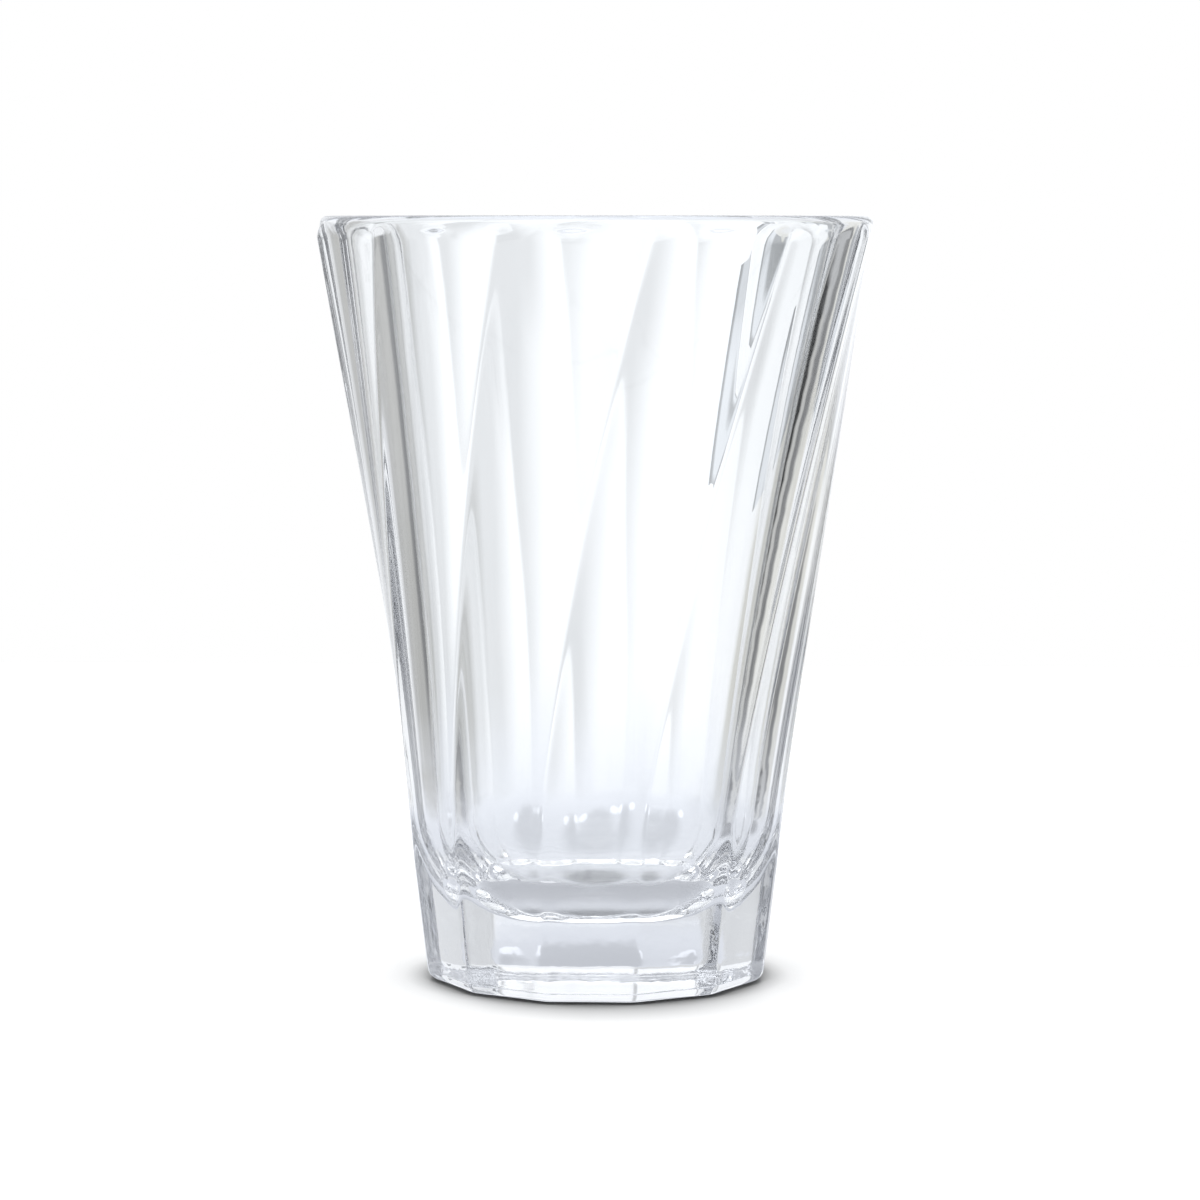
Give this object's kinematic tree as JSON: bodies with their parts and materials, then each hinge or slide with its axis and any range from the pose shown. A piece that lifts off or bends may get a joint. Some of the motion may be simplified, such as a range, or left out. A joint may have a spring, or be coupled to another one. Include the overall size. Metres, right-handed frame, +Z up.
{
  "type": "latte glass",
  "caption": "Tall tapered drinking glass of clear pressed glass with twelve almost flat leaning flutes, a round rim, a smooth round inside with a bowl-shaped bottom and a thick solid foot to stand on.",
  "frame": {"origin": "centre of the flat underside of the foot, where the glass stands", "axes": "+Z up along the axis of the glass, -Y towards the viewer of the picture, out of the middle of one foot flute"},
  "size_m": [0.0866, 0.0866, 0.12],
  "materials": {
    "clear_glass": "clear, fire polished"
  },
  "bodies": {
    "root": {"glass": "clear_glass"}
  },
  "joints": []
}
